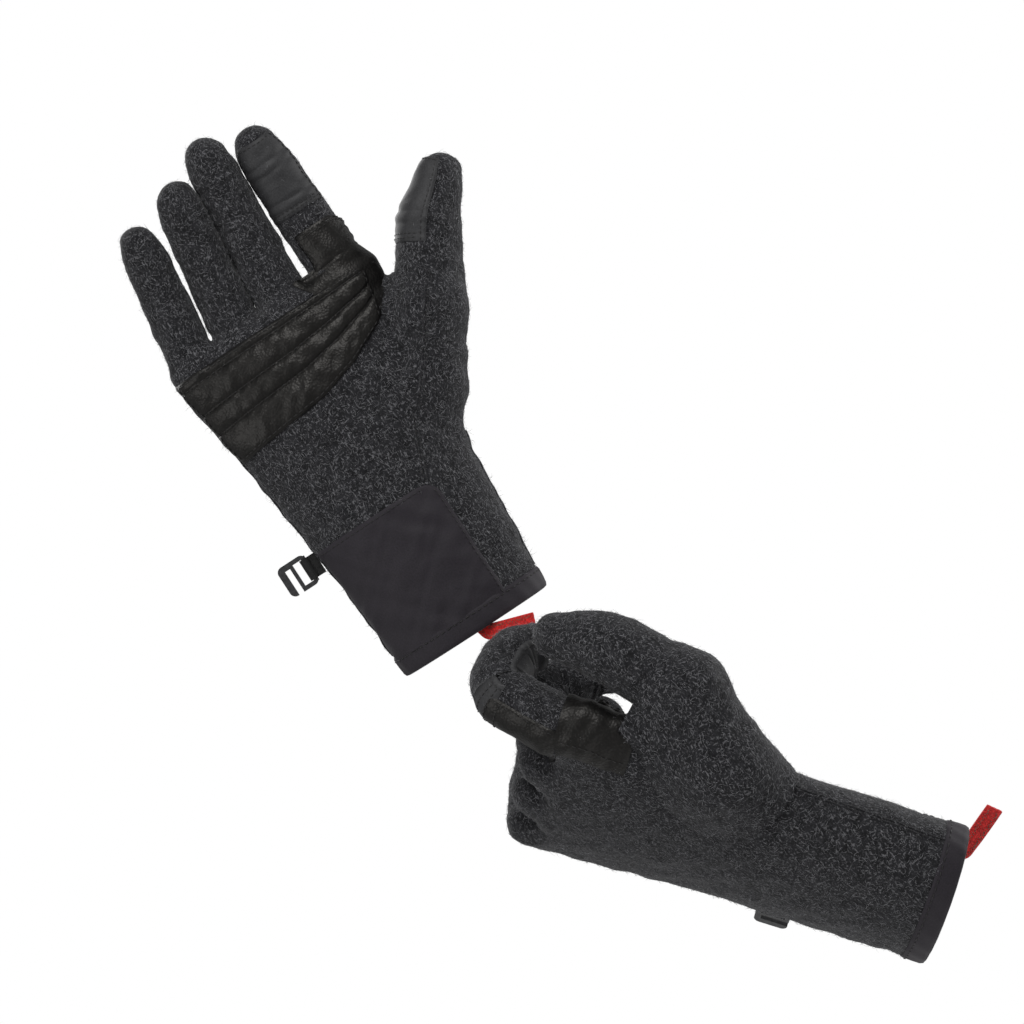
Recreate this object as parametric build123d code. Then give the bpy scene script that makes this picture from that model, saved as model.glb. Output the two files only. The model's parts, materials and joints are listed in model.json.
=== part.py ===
"""A pair of boiled-wool touchscreen gloves, sewn from separate cloth pieces.

Millimetres. The origin is the centre of the right glove's cuff opening, +Z runs from the cuff to the
fingertips, +X points to the right thumb and -Y is the palm side. The right hand is open. The left hand
is the mirror image of the same pattern, curled as if its thumb and index finger pinch the right pull loop.
Every finger stall bends about its own joints, so it is cut in three tubes with rounded knuckles.
"""
import os
from functools import lru_cache
from math import cos, radians, sin

from build123d import *

# ---- cloth ----
WOOL = 2.5  # boiled wool wall
LINING = 1.2  # brushed lining
LEATHER = 1.2  # palm leather
PADDING = 1.8  # foam under the leather channels
SOFTSHELL = 2.0  # wrist panel
PAD = 1.3  # touch pads and index patch
SEAM = 0.3  # space between two cloth pieces of one hand
KNUCKLE = 0.6  # space round a rounded knuckle

# ---- hand: height, ulnar edge, radial edge, half thickness ----
HAND_SECTIONS = (
    (0, -40, 39, 27),
    (40, -42, 43, 26),
    (75, -45, 45, 24),
    (105, -48, 54, 21.5),
    (130, -51, 50, 20),
    (160, -56, 54, 18),
    (184, -58, 56, 15),
)
HEM_HEIGHT = 11
SPARE = 6  # the hand form runs on past both ends by this much
HAND_TOP = 184  # the crotches between the fingers
CAVITY_TOP = 178
LINING_TOP = 165
KNUCKLE_LINE = 189  # height of the finger hinges
PALM_TOP = 175  # the palm side ends lower, so that the fingers can fold over it
WIDE = 90  # half width, half depth and top of the blocks that cut the hand into its pieces
DEEP = 60
TALL = 230

# ---- fingers: hinge x, lean towards the thumb in degrees, tube lengths, radii from root to tip ----
FINGERS = {
    "index": (38.5, -1, (32, 22, 20), (12.6, 11.6, 10.8, 9.2)),
    "middle": (8.3, 5, (37, 25, 20.5), (12.4, 11.5, 10.6, 9.2)),
    "ring": (-17.8, 9, (32, 22, 19), (12, 11.2, 10.4, 9)),
    "little": (-43.5, 9, (28, 19, 18), (11, 10.2, 9.2, 8.2)),
}
SEGMENTS = ("base", "middle", "tip")

# ---- thumb ----
THUMB_ROOT = (46, 0, 112)
THUMB_LENGTHS = (36.4, 41.9, 33.2)
THUMB_RADII = (17, 15.5, 13.5, 9)

# ---- wrist panel, leather and pads ----
PANEL_EDGE = 22  # radial edge of the softshell panel
PANEL_TOP = 73
PANEL_CORNER = 9
LEATHER_BOTTOM = 120  # the leather and its padding lie above this height
LEATHER_RIM = 4  # width of the rim that comes down to the wool
PADDING_INSET = 5
LEATHER_OUTLINE = ((-58, 129), (20, 139), (49, 154), (56, 158), (56, PALM_TOP), (-58, PALM_TOP))
ELASTIC_HEIGHT = (62, 70)
ELASTIC_REACH = 36  # half length of the elastic across the back
THUMB_WINDOW = (26, 92)  # ulnar edge and bottom of the lining's opening for the thumb
PATCH_SPAN = (4.5, 14, 60)  # start and end along the stall, half spread in degrees
INDEX_PAD_START = 2
THUMB_PAD_START = 5
PAD_SPREAD = 55

# ---- clip on the little-finger side ----
CLIP_HEIGHT = 69
CLIP_BAR_X = -51.5
CLIP_BAR_RADIUS = 1.25
CLIP_THICKNESS = 3.0
CLIP_SIZE = (15.5, 16)
WEBBING_WIDTH = 11
WEBBING_THICKNESS = 0.9
CLIP_CORNER = 3
CLIP_FRAME = 2.2  # width of the plate's outer frame above and below its window
WINDOW_WIDTH = 9
WINDOW_OFFSET = 1.6
SLOT_WIDTH = 3
SLOT_OFFSET = 9.4
SLOT_FRAME = 3
MOUTH_HEIGHT = 6

# ---- pull loop inside the cuff ----
LOOP_PATH = ((3, -20.5, 5), (5, -21.6, -3), (13, -27, -5.5), (26, -35, -9.5))
LOOP_ACROSS = ((1, 0, 0), (0.9, -0.2, 0.35), (-0.1, 0.3, 0.95), (-0.1, 0.35, 0.93))
LOOP_WIDTH = 7.5
LOOP_THICKNESS = 1.8

# ---- how each glove lies: bend of each finger joint, thumb directions, place of the cuff ----
RIGHT = {
    "side": 1,
    "bends": {"index": (4, 8, 5), "middle": (7, 9, 6), "ring": (8, 10, 6), "little": (7, 10, 6)},
    "thumb": ((0.52, 0, 0.85), (0.55, 0, 0.835), (0.72, 0, 0.69)),
    "pad": (-0.6, -0.7, 0.39),
    "thumb_travel": (-45, 10),
    "place": Location((0, 0, 0)),
}
LEFT = {
    "side": -1,
    "bends": {"index": (16, 80, 44), "middle": (72, 60, 24), "ring": (82, 50, 22), "little": (80, 50, 22)},
    "thumb": ((-0.47, -0.55, 0.69), (-0.04, -0.25, 0.967), (0.23, -0.02, 0.973)),
    "pad": (0.8, -0.5, -0.33),
    "thumb_travel": (0, 30),
    "place": Location((114.5, -102, -211), (-5, -40, 124.5)),
}
GLOVES = {"right": RIGHT, "left": LEFT}


# ---- frames of the joints ----
def finger_frames(glove, finger):
    """One plane per hinge, then the tip: x along the hinge axis, z along the tube, -y on the palm side."""
    hinge_x, lean, lengths, _ = FINGERS[finger]
    side = glove["side"]
    axis = Vector(cos(radians(lean)), 0, -side * sin(radians(lean)))
    point = Vector(side * hinge_x, 0, KNUCKLE_LINE)
    bend = 0
    frames = []
    for length, more in zip(lengths, glove["bends"][finger]):
        bend += more
        straight = Vector(side * sin(radians(lean)), 0, cos(radians(lean)))
        along = straight * cos(radians(bend)) + Vector(0, -1, 0) * sin(radians(bend))
        frames.append(Plane(origin=point, x_dir=axis, z_dir=along))
        point = point + along * length
    return frames, point


def thumb_frames(glove):
    """The same for the thumb: its root swings over the palm, the other two bend towards the pad side."""
    side = glove["side"]
    pad = Vector(*glove["pad"]).normalized()
    point = Vector(side * THUMB_ROOT[0], THUMB_ROOT[1], THUMB_ROOT[2])
    frames = []
    for number, (length, aim) in enumerate(zip(THUMB_LENGTHS, glove["thumb"])):
        along = Vector(*aim).normalized()
        towards = Vector(0, -1, 0) if number == 0 else pad
        frames.append(Plane(origin=point, x_dir=along.cross(towards).normalized(), z_dir=along))
        point = point + along * length
    return frames, point


# ---- the hand tube ----
def hand_size(height):
    """Ulnar edge, radial edge and half thickness of the hand at any height."""
    for low, high in zip(HAND_SECTIONS, HAND_SECTIONS[1:]):
        if height <= high[0]:
            part = (height - low[0]) / (high[0] - low[0])
            return [a + (b - a) * part for a, b in zip(low[1:], high[1:])]
    return list(HAND_SECTIONS[-1][1:])


@lru_cache(maxsize=None)
def hand_form(side, offset):
    """Solid through all hand sections, grown by an offset and run on past both ends."""
    sections = [(-SPARE, *HAND_SECTIONS[0][1:]), *HAND_SECTIONS, (HAND_TOP + SPARE, *HAND_SECTIONS[-1][1:])]
    faces = []
    for height, ulnar, radial, thick in sections:
        ring = Ellipse((radial - ulnar) / 2 + offset, thick + offset)
        faces.append(Plane(origin=(side * (ulnar + radial) / 2, 0, height)) * ring)
    return loft(faces, ruled=True)


def hand_tube(side, offset, bottom, top):
    """The part of the grown hand between two heights."""
    return hand_form(side, offset) & half_space(side, (-WIDE, -DEEP, bottom), (WIDE, DEEP, top))


def hand_layer(side, inner, outer, bottom, top):
    """A tube of cloth that follows the hand between two offsets."""
    return hand_tube(side, outer, bottom, top) - hand_form(side, inner)


def half_space(side, low, high):
    """A big block over the given x, y and z ranges, mirrored for the left hand."""
    centre = [(a + b) / 2 for a, b in zip(low, high)]
    size = [b - a for a, b in zip(low, high)]
    return Pos(side * centre[0], centre[1], centre[2]) * Box(*size)


def outline_block(side, points, margin, front):
    """A deep block on the palm side with an outline in X and Z, drawn in by a margin."""
    face = make_face(Polyline([(side * x, z) for x, z in points], close=True))
    if margin:
        face = offset(face, amount=-margin, kind=Kind.INTERSECTION)
    return extrude(Plane.XZ * face, amount=DEEP).translate((0, -front, 0))


def rod(start, end, start_radius, end_radius):
    """A tapered rod between two points."""
    along = end - start
    bottom = (Align.CENTER, Align.CENTER, Align.MIN)
    return Plane(origin=start, z_dir=along) * Cone(start_radius, end_radius, along.length, align=bottom)


def ball(centre, radius):
    return Pos(*centre) * Sphere(radius)


def turned(point, frame, degrees):
    """A point swung about a joint."""
    return Vertex(*point).rotate(Axis(frame.origin, frame.x_dir), degrees).center()


def thumb_room(glove):
    """Everything that the thumb passes through as it swings, to be cut from the hand."""
    frames, _ = thumb_frames(glove)
    root, knuckle, joint = [frame.origin for frame in frames]
    low, high = glove["thumb_travel"]
    radii = [r + KNUCKLE for r in THUMB_RADII]
    room = [ball(root, radii[0])]
    for turn in sorted({low, low * 2 / 3, low / 3, 0, high / 2, high}):
        middle = turned(knuckle, frames[0], -turn)
        end = turned(joint, frames[0], -turn)
        room += [rod(root, middle, *radii[:2]), ball(middle, radii[1]), rod(middle, end, *radii[1:3])]
    for turn in sorted({low, low / 2, high}):
        room.append(rod(knuckle, turned(joint, frames[1], -turn), *radii[1:3]))
    return room


def finger_room(glove):
    """Round hollows for the finger knuckles and the open way into each stall."""
    room = []
    for finger, (_, _, _, radii) in FINGERS.items():
        centre = finger_frames(glove, finger)[0][0].origin
        room.append(ball(centre, radii[0] + KNUCKLE))
        room.append(Pos(centre.X, 0, KNUCKLE_LINE - 10) * Cylinder(radii[0] - WOOL, 24))
    return room


# ---- cloth pieces of the hand ----
def cut_away(shape, tools):
    """Cut one tool after another, which leaves cleaner edges than one cut with all of them."""
    for tool in tools:
        shape = shape - tool
    return shape


def mirrored(glove):
    """The same glove seen in a mirror, for its joints only."""
    thumb = [(-x, y, z) for x, y, z in glove["thumb"]]
    pad = (-glove["pad"][0], *glove["pad"][1:])
    return {**glove, "side": -glove["side"], "thumb": thumb, "pad": pad}


def hand_pieces(glove):
    """The left hand's pieces are cut as right ones and mirrored."""
    if glove["side"] < 0:
        return {name: shape.mirror(Plane.YZ) for name, shape in hand_pieces(mirrored(glove)).items()}
    side = glove["side"]
    fold = half_space(side, (-WIDE, -DEEP, PALM_TOP), (WIDE, 0, TALL))
    room = thumb_room(glove) + finger_room(glove) + [fold]
    shell_bottom = HEM_HEIGHT + SEAM
    wall = hand_tube(side, 0, shell_bottom, HAND_TOP) - hand_tube(side, -WOOL, shell_bottom - 1, CAVITY_TOP)
    wall = cut_away(wall, room)
    palm_side = half_space(side, (-WIDE, -DEEP, -SPARE), (WIDE, -SEAM / 2, TALL))
    back_side = half_space(side, (-WIDE, SEAM / 2, -SPARE), (WIDE, DEEP, TALL))
    panel_layer = hand_layer(side, -SOFTSHELL, 0, shell_bottom, PANEL_TOP)
    liner = hand_layer(side, -WOOL - SEAM - LINING, -WOOL - SEAM, shell_bottom + 3, LINING_TOP)
    low, high = ELASTIC_HEIGHT
    elastic_gap = half_space(side, (-WIDE, 0, low - 1), (WIDE, DEEP, high + 1))
    elastic = hand_layer(side, -WOOL - SEAM - LINING, -WOOL - SEAM, low, high)
    thumb_window = half_space(side, (THUMB_WINDOW[0], -DEEP, THUMB_WINDOW[1]), (WIDE, DEEP, TALL))
    foam = hand_layer(side, SEAM / 2, SEAM / 2 + PADDING, LEATHER_BOTTOM, PALM_TOP)
    return {
        "back_shell": wall & back_side,
        "palm_shell": (wall & palm_side) - panel_block(side, SEAM),
        "wrist_panel": panel_layer & panel_block(side, 0),
        "lining": cut_away(liner, [elastic_gap, thumb_window]),
        "wrist_elastic": elastic & half_space(side, (-ELASTIC_REACH, 0, 0), (ELASTIC_REACH, DEEP, TALL)),
        "palm_padding": cut_away(foam & outline_block(side, LEATHER_OUTLINE, PADDING_INSET, PADDING_INSET), room),
        "leather_palm": cut_away(leather_cover(side), room),
        "cuff_hem": hand_layer(side, -WOOL - 0.5, 0.5, 0, HEM_HEIGHT),
    }


def panel_block(side, margin):
    """The zone of the wrist panel: open below and on the ulnar side, with one round corner."""
    edge = PANEL_EDGE + margin
    top = PANEL_TOP + margin
    points = ((-WIDE, 0), (edge, 0), (edge, top), (-WIDE, top))
    face = make_face(Polyline([(side * x, z) for x, z in points], close=True))
    corner = face.vertices().sort_by_distance((side * edge, top))[0]
    face = fillet(corner, PANEL_CORNER + margin)
    return extrude(Plane.XZ * face, amount=DEEP).translate((0, -SEAM / 2, 0))


def leather_cover(side):
    """The leather: a skin over the padding whose rim comes down to the wool."""
    low = SEAM / 2
    high = low + PADDING + LEATHER
    cover = hand_layer(side, low, high, LEATHER_BOTTOM, PALM_TOP)
    cover = cover & outline_block(side, LEATHER_OUTLINE, 0, LEATHER_RIM / 2)
    hollow = hand_layer(side, low - 1, high - LEATHER + SEAM / 2, LEATHER_BOTTOM - 1, PALM_TOP + 1)
    return cover - (hollow & outline_block(side, LEATHER_OUTLINE, LEATHER_RIM, LEATHER_RIM))


# ---- finger and thumb stalls ----
def stall(root, far, length, closed):
    """A hollow tube along +Z with a rounded root; the tip tube is closed."""
    if closed:
        start = Vector(0, 0, 0)
        end = Vector(0, 0, length - far)
        outer = rod(start, end, root, far) + ball(start, root) + ball(end, far)
        inner = rod(start, end, root - WOOL, far - WOOL) + ball(end, far - WOOL)
    else:
        outer = Cone(root, far, length, align=(Align.CENTER, Align.CENTER, Align.MIN)) + Sphere(root)
        inner = Cone(root - WOOL, far - WOOL, length, align=(Align.CENTER, Align.CENTER, Align.MIN))
    way = Cylinder(root - WOOL, root + 1, align=(Align.CENTER, Align.CENTER, Align.MAX))
    return outer - inner - way


def chain_pieces(frames, lengths, radii):
    """Three stalls, each cut back at its far end so that the next one can fold."""
    pieces = []
    for number, (frame, length) in enumerate(zip(frames, lengths)):
        last = number == len(frames) - 1
        tube = frame.location * stall(radii[number], radii[number + 1], length, last)
        if not last:
            after = frames[number + 1]
            reach = radii[number + 1] + KNUCKLE
            knuckle = Pos(*after.origin) * Sphere(reach)
            notch_frame = Plane(origin=after.origin, x_dir=after.x_dir, z_dir=frame.z_dir)
            notch = Box(4 * reach, 2 * reach, 2 * reach, align=(Align.CENTER, Align.MAX, Align.CENTER))
            tube = tube - knuckle - notch_frame.location * notch
        pieces.append(tube)
    return pieces


def pad_on(frame, start, end, root, far, spread, length):
    """A thin pad on the palm side of a stall, from one height to another, over a spread of degrees."""
    inner = root + (far - root) * start / length + SEAM / 2
    inner_end = root + (far - root) * end / length + SEAM / 2
    height = end - start
    bottom = (Align.CENTER, Align.CENTER, Align.MIN)
    skin = Cone(inner + PAD, inner_end + PAD, height, align=bottom) - Cone(inner, inner_end, height, align=bottom)
    reach = 3 * root
    corners = [(0, 0)]
    for turn in (-spread, -spread / 2, 0, spread / 2, spread):
        corners.append((reach * sin(radians(turn)), -reach * cos(radians(turn))))
    wedge = extrude(make_face(Polyline(corners, close=True)), amount=height)
    return frame.location * Pos(0, 0, start) * (skin & wedge)


def finger_pieces(glove):
    pieces = {}
    for finger, (_, _, lengths, radii) in FINGERS.items():
        frames, _ = finger_frames(glove, finger)
        for name, tube in zip(SEGMENTS, chain_pieces(frames, lengths, radii)):
            pieces[f"{finger}_{name}"] = tube
    frames, _ = thumb_frames(glove)
    for name, tube in zip(SEGMENTS, chain_pieces(frames, THUMB_LENGTHS, THUMB_RADII)):
        pieces[f"thumb_{name}"] = tube
    index = finger_frames(glove, "index")[0]
    _, _, lengths, radii = FINGERS["index"]
    start, end, spread = PATCH_SPAN
    pieces["index_leather_patch"] = pad_on(index[0], start, end, radii[0], radii[1], spread, lengths[0])
    for name, frame, length, sizes, start in (
        ("index", index[2], lengths[2], radii, INDEX_PAD_START),
        ("thumb", frames[2], THUMB_LENGTHS[2], THUMB_RADII, THUMB_PAD_START),
    ):
        end = length - sizes[3]
        pieces[f"{name}_touch_pad"] = pad_on(frame, start, end, sizes[2], sizes[3], PAD_SPREAD, end)
    return pieces


# ---- clip and pull loop ----
def clip_pieces(side):
    """A flat hook that hangs on a webbing loop, and turns about its own bar."""
    width, height = CLIP_SIZE
    bar = Pos(CLIP_BAR_X, 0, CLIP_HEIGHT) * Cylinder(CLIP_BAR_RADIUS, height - CLIP_FRAME)
    strap_hole = CLIP_BAR_RADIUS + SEAM
    strap_outside = strap_hole + WEBBING_THICKNESS
    edge = hand_size(CLIP_HEIGHT)[0] - SEAM
    eye = Cylinder(strap_outside, WEBBING_WIDTH) - Cylinder(strap_hole, WEBBING_WIDTH)
    tail_length = edge - CLIP_BAR_X - strap_hole - WEBBING_THICKNESS
    tail = Box(tail_length, 2 * WEBBING_THICKNESS, WEBBING_WIDTH, align=(Align.MIN, Align.CENTER, Align.CENTER))
    webbing = Pos(CLIP_BAR_X, 0, CLIP_HEIGHT) * (eye + Pos(strap_hole + SEAM, 0, 0) * tail)
    plate = Pos(CLIP_BAR_X + CLIP_BAR_RADIUS - width / 2, 0, CLIP_HEIGHT) * Box(width, CLIP_THICKNESS, height)
    plate = fillet(plate.edges().filter_by(Axis.Y), CLIP_CORNER)
    through = 3 * CLIP_THICKNESS
    window = Box(WINDOW_WIDTH, through, height - 2 * CLIP_FRAME)
    slot = Box(SLOT_WIDTH, through, height - 2 * SLOT_FRAME)
    mouth = Pos(0, 0, 1 - height / 2) * Box(SLOT_WIDTH, through, MOUTH_HEIGHT)
    plate = plate - Pos(CLIP_BAR_X - WINDOW_OFFSET, 0, CLIP_HEIGHT) * window
    plate = plate - Pos(CLIP_BAR_X - SLOT_OFFSET, 0, CLIP_HEIGHT) * slot
    hook = plate - Pos(CLIP_BAR_X - SLOT_OFFSET, 0, CLIP_HEIGHT) * mouth + bar
    if side < 0:
        return {"clip_webbing": webbing.mirror(Plane.YZ), "clip_hook": hook.mirror(Plane.YZ)}
    return {"clip_webbing": webbing, "clip_hook": hook}


def pull_loop(side):
    """A folded ribbon that hangs from inside the cuff and is drawn forward under the hem."""
    points = [Vector(side * x, y, z) for x, y, z in LOOP_PATH]
    sections = []
    for number, (point, wide) in enumerate(zip(points, LOOP_ACROSS)):
        before = points[max(number - 1, 0)]
        after = points[min(number + 1, len(points) - 1)]
        along = (after - before).normalized()
        section = Plane(origin=point, x_dir=(side * wide[0], *wide[1:]), z_dir=along)
        sections.append(section * Rectangle(LOOP_WIDTH, LOOP_THICKNESS))
    return loft(sections, ruled=True)


# ---- write every piece ----
def main():
    os.makedirs("parts", exist_ok=True)
    for hand, glove in GLOVES.items():
        pieces = {**hand_pieces(glove), **finger_pieces(glove), **clip_pieces(glove["side"])}
        pieces["pull_loop"] = pull_loop(glove["side"])
        for name, shape in pieces.items():
            # curves stored in space only: curves stored on moved faces read back slightly off their edges
            export_step(glove["place"] * shape, f"parts/{hand}_{name}.step", write_pcurves=False)


main()
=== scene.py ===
"""Looks of the wool gloves: cloth skins, leather, pads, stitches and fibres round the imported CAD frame."""
import json
import math

import bmesh
import bpy
import numpy as np
from mathutils import Matrix, Vector


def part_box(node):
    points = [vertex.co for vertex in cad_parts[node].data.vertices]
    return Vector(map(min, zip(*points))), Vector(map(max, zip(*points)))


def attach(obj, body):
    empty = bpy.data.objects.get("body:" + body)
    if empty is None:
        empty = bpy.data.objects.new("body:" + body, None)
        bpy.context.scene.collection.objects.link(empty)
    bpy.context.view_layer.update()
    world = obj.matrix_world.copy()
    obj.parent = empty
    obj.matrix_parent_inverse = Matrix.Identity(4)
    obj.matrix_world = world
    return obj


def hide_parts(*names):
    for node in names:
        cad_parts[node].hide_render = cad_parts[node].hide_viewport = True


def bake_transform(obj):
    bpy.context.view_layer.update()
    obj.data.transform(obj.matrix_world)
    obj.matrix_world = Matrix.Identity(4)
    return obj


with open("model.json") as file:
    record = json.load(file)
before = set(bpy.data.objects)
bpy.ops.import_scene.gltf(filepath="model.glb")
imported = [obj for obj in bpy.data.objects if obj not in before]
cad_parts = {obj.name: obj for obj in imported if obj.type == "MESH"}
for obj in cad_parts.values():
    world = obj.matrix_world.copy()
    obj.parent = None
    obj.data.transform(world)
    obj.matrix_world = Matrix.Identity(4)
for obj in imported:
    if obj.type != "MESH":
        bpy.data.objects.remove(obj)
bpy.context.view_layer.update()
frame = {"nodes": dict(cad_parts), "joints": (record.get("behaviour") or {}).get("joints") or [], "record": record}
RECORD = frame["record"]
JOINTS = {joint["name"]: joint for joint in frame["joints"]}
MOUNTS = {mount["name"]: mount for mount in RECORD["mounts"]}
random = np.random.default_rng(11)

# ---- the pattern, in millimetres: x towards the thumb, y out of the back, z from cuff to fingertips ----
# of the hand: height, little-finger side, thumb side, half thickness
SECTIONS = np.array([(-6, -40, 39, 27), (0, -40, 39, 27), (40, -42, 43, 26), (75, -45, 45, 24),
                     (105, -48, 54, 21.5), (130, -51, 50, 20), (160, -56, 54, 18), (184, -58, 56, 15),
                     (200, -58, 56, 15)], float)
HAND_TOP = 184
ROOT_HEIGHT = 189
ROOT_CUT = 186  # where the skin of the hand ends under straight stalls
# of each stall: at its root, knuckle, end joint and tip
RADII = {"index": (13.2, 12.9, 12.1, 10.6), "middle": (12.9, 12.4, 11.7, 10.4),
         "ring": (12.5, 12.1, 11.4, 10.2), "little": (11.6, 11.4, 10.5, 9.3),
         "thumb": (18.0, 17.4, 15.6, 10.8)}
FINGERS = ("index", "middle", "ring", "little")
SKIN = 1.6
SEAM_POINTS = 9
SEAM_HALF = 1.5
WEB = {"straight": 6, "folded": 8, "rim": 9, "thumb": 8}  # how softly two shapes run into each other
THUMB_WEB = {"right": 10, "left": 26}
SIDES = 56
FINGER_SEAMS = tuple(2 * math.pi * step / SIDES for step in (12, 44))
THUMB_SEAMS = tuple(2 * math.pi * step / SIDES for step in (7, 35))
CLIP_HEIGHT = 69


def mm(v):
    return np.array(v, float) * 1000


class Glove:
    """One hand's pattern frame in the row frame, its stalls, and the distance fields of its skins."""

    def __init__(self, hand):
        self.hand = hand
        self.side = 1 if hand == "right" else -1
        mount = MOUNTS[f"{hand}_hand_opening"]
        self.origin = mm(mount["pos_m"])
        up = -np.array(mount["axis"], float)
        up /= np.linalg.norm(up)
        clip = mm(JOINTS[f"{hand}_clip_swivel"]["pos_m"]) - self.origin
        out = -(clip - up * CLIP_HEIGHT)
        out -= up * (out @ up)
        out /= np.linalg.norm(out)
        back = np.cross(up, out) * self.side
        self.axes = np.stack([out, back, up])
        self.fingers = {}
        for name in (*FINGERS, "thumb"):
            row = [mm(JOINTS[f"{hand}_{name}_{part}"]["pos_m"]) for part in ("root", "knuckle", "end")]
            node = frame["nodes"][f"{hand}_{name}_tip"].data
            cloud = np.array([v.co for v in node.vertices]) * 1000
            far = np.linalg.norm(cloud - row[2], axis=1)
            tip = cloud[far > far.max() - 0.35].mean(axis=0)
            axis = np.array(JOINTS[f"{hand}_{name}_end"]["axis"], float)
            pad = np.cross(-axis if name == "thumb" else axis, tip - row[2])
            self.fingers[name] = {"joints": [self.local(p) for p in (*row, tip)], "pad": self.axes @ pad}
        self.tubes = {name: finger_tube(self, name) for name in (*FINGERS, "thumb")}

    def local(self, row):
        return (np.asarray(row) - self.origin) @ self.axes.T

    def row(self, local):
        return np.asarray(local) @ self.axes + self.origin

    def metres(self, local):
        return tuple(self.row(local) / 1000)

    def name(self, piece):
        return f"{self.hand}_{piece}"

    def joints(self, name):
        return [np.array(p, float) for p in self.fingers[name]["joints"]]

    def root_zone(self, tube):
        """Two points on a straight stall's line at its root, ROOT_ZONE apart, in metres."""
        centre = tube.centre(np.array([ROOT_START]))[0]
        return self.metres(centre), self.metres(centre + ROOT_ZONE)

    def finger_part(self, p, name):
        root, knuckle = self.joints(name)[:2]
        r = RADII[name]
        if self.tubes[name].folded:
            return np.linalg.norm(p - root, axis=1) - r[0] * 0.97
        inside = root - np.array([0, 0, 14.0])
        return np.minimum(rod_field(p, inside, root, r[0], r[0]), rod_field(p, root, knuckle, r[0], r[1]))

    def with_finger(self, body, p, name):
        return smin(body, self.finger_part(p, name), WEB["folded" if self.tubes[name].folded else "straight"])

    def hand_skin(self, p):
        body = hand_field(p)
        return np.minimum.reduce([self.with_finger(body, p, name) for name in FINGERS])

    def finger_skin(self, name):
        return lambda p: self.with_finger(hand_field(p), p, name)

    def thumb_chain(self, p):
        root, knuckle, end, _ = self.joints("thumb")
        r = RADII["thumb"]
        first = rod_field(p, root, knuckle, r[0], r[1])
        second = rod_field(p, knuckle, end, r[1], r[2])
        return smin(first, second, WEB["thumb"])

    def thumb_skin(self, p):
        return smin(hand_field(p), self.thumb_chain(p), THUMB_WEB[self.hand])

    def cover(self, p):
        return np.minimum(self.hand_skin(p), self.thumb_skin(p))


# ---- distance fields ----
def smin(a, b, k):
    h = np.maximum(k - np.abs(a - b), 0) / k
    return np.minimum(a, b) - h * h * k / 4


def section(z, column):
    return np.interp(z, SECTIONS[:, 0], SECTIONS[:, column])


def hand_shape(z):
    ulnar, radial, thick = (section(z, column) for column in (1, 2, 3))
    return (ulnar + radial) / 2, (radial - ulnar) / 2, thick


def hand_field(p):
    cx, a, b = hand_shape(p[:, 2])
    u, v = p[:, 0] - cx, p[:, 1]
    k0 = np.sqrt((u / a) ** 2 + (v / b) ** 2) + 1e-9
    k1 = np.sqrt((u / a**2) ** 2 + (v / b**2) ** 2) + 1e-9
    side = k0 * (k0 - 1) / k1
    return -smin(-side, HAND_TOP - p[:, 2], WEB["rim"])


def rod_field(p, a, b, ra, rb):
    d = b - a
    t = np.clip((p - a) @ d / (d @ d), 0, 1)
    return np.linalg.norm(p - a - t[:, None] * d, axis=1) - (ra + (rb - ra) * t)


def gradient(field, p, h=0.2):
    out = np.empty_like(p)
    for axis in range(3):
        step = np.zeros(3)
        step[axis] = h
        out[:, axis] = (field(p + step) - field(p - step)) / (2 * h)
    return out / (np.linalg.norm(out, axis=1, keepdims=True) + 1e-12)


def settle(field, p, rounds=4):
    for _ in range(rounds):
        p = p - gradient(field, p) * np.clip(field(p), -1.5, 1.5)[:, None]
    return p


def folds(p):
    """Soft lumps and slack of the cloth, the same for every piece at the same place."""
    total = np.zeros(len(p))
    waves = (((0.31, 0.12, 0.21), 0.34, 0.3), ((-0.17, 0.33, 0.26), 0.3, 1.7),
             ((0.22, -0.29, 0.41), 0.22, 4.1), ((0.55, 0.38, -0.2), 0.14, 2.2),
             ((-0.48, 0.3, 0.62), 0.12, 0.9), ((0.1, 0.7, 0.75), 0.08, 3.3))
    for wave, size, phase in waves:
        bent = p @ np.array(wave) + phase + 1.3 * np.sin(p @ np.array(wave[::-1]) * 0.37 + phase)
        total += size * np.sin(bent)
    return total * 0.6


def leaving(field, origin, ray, low, high, rounds):
    """Halves the stretch of each ray in which it leaves a field, and returns its two ends."""
    for _ in range(rounds):
        half = (low + high) / 2
        inside = field(origin + ray * half[:, None]) < 0
        low, high = np.where(inside, half, low), np.where(inside, high, half)
    return low, high


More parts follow.
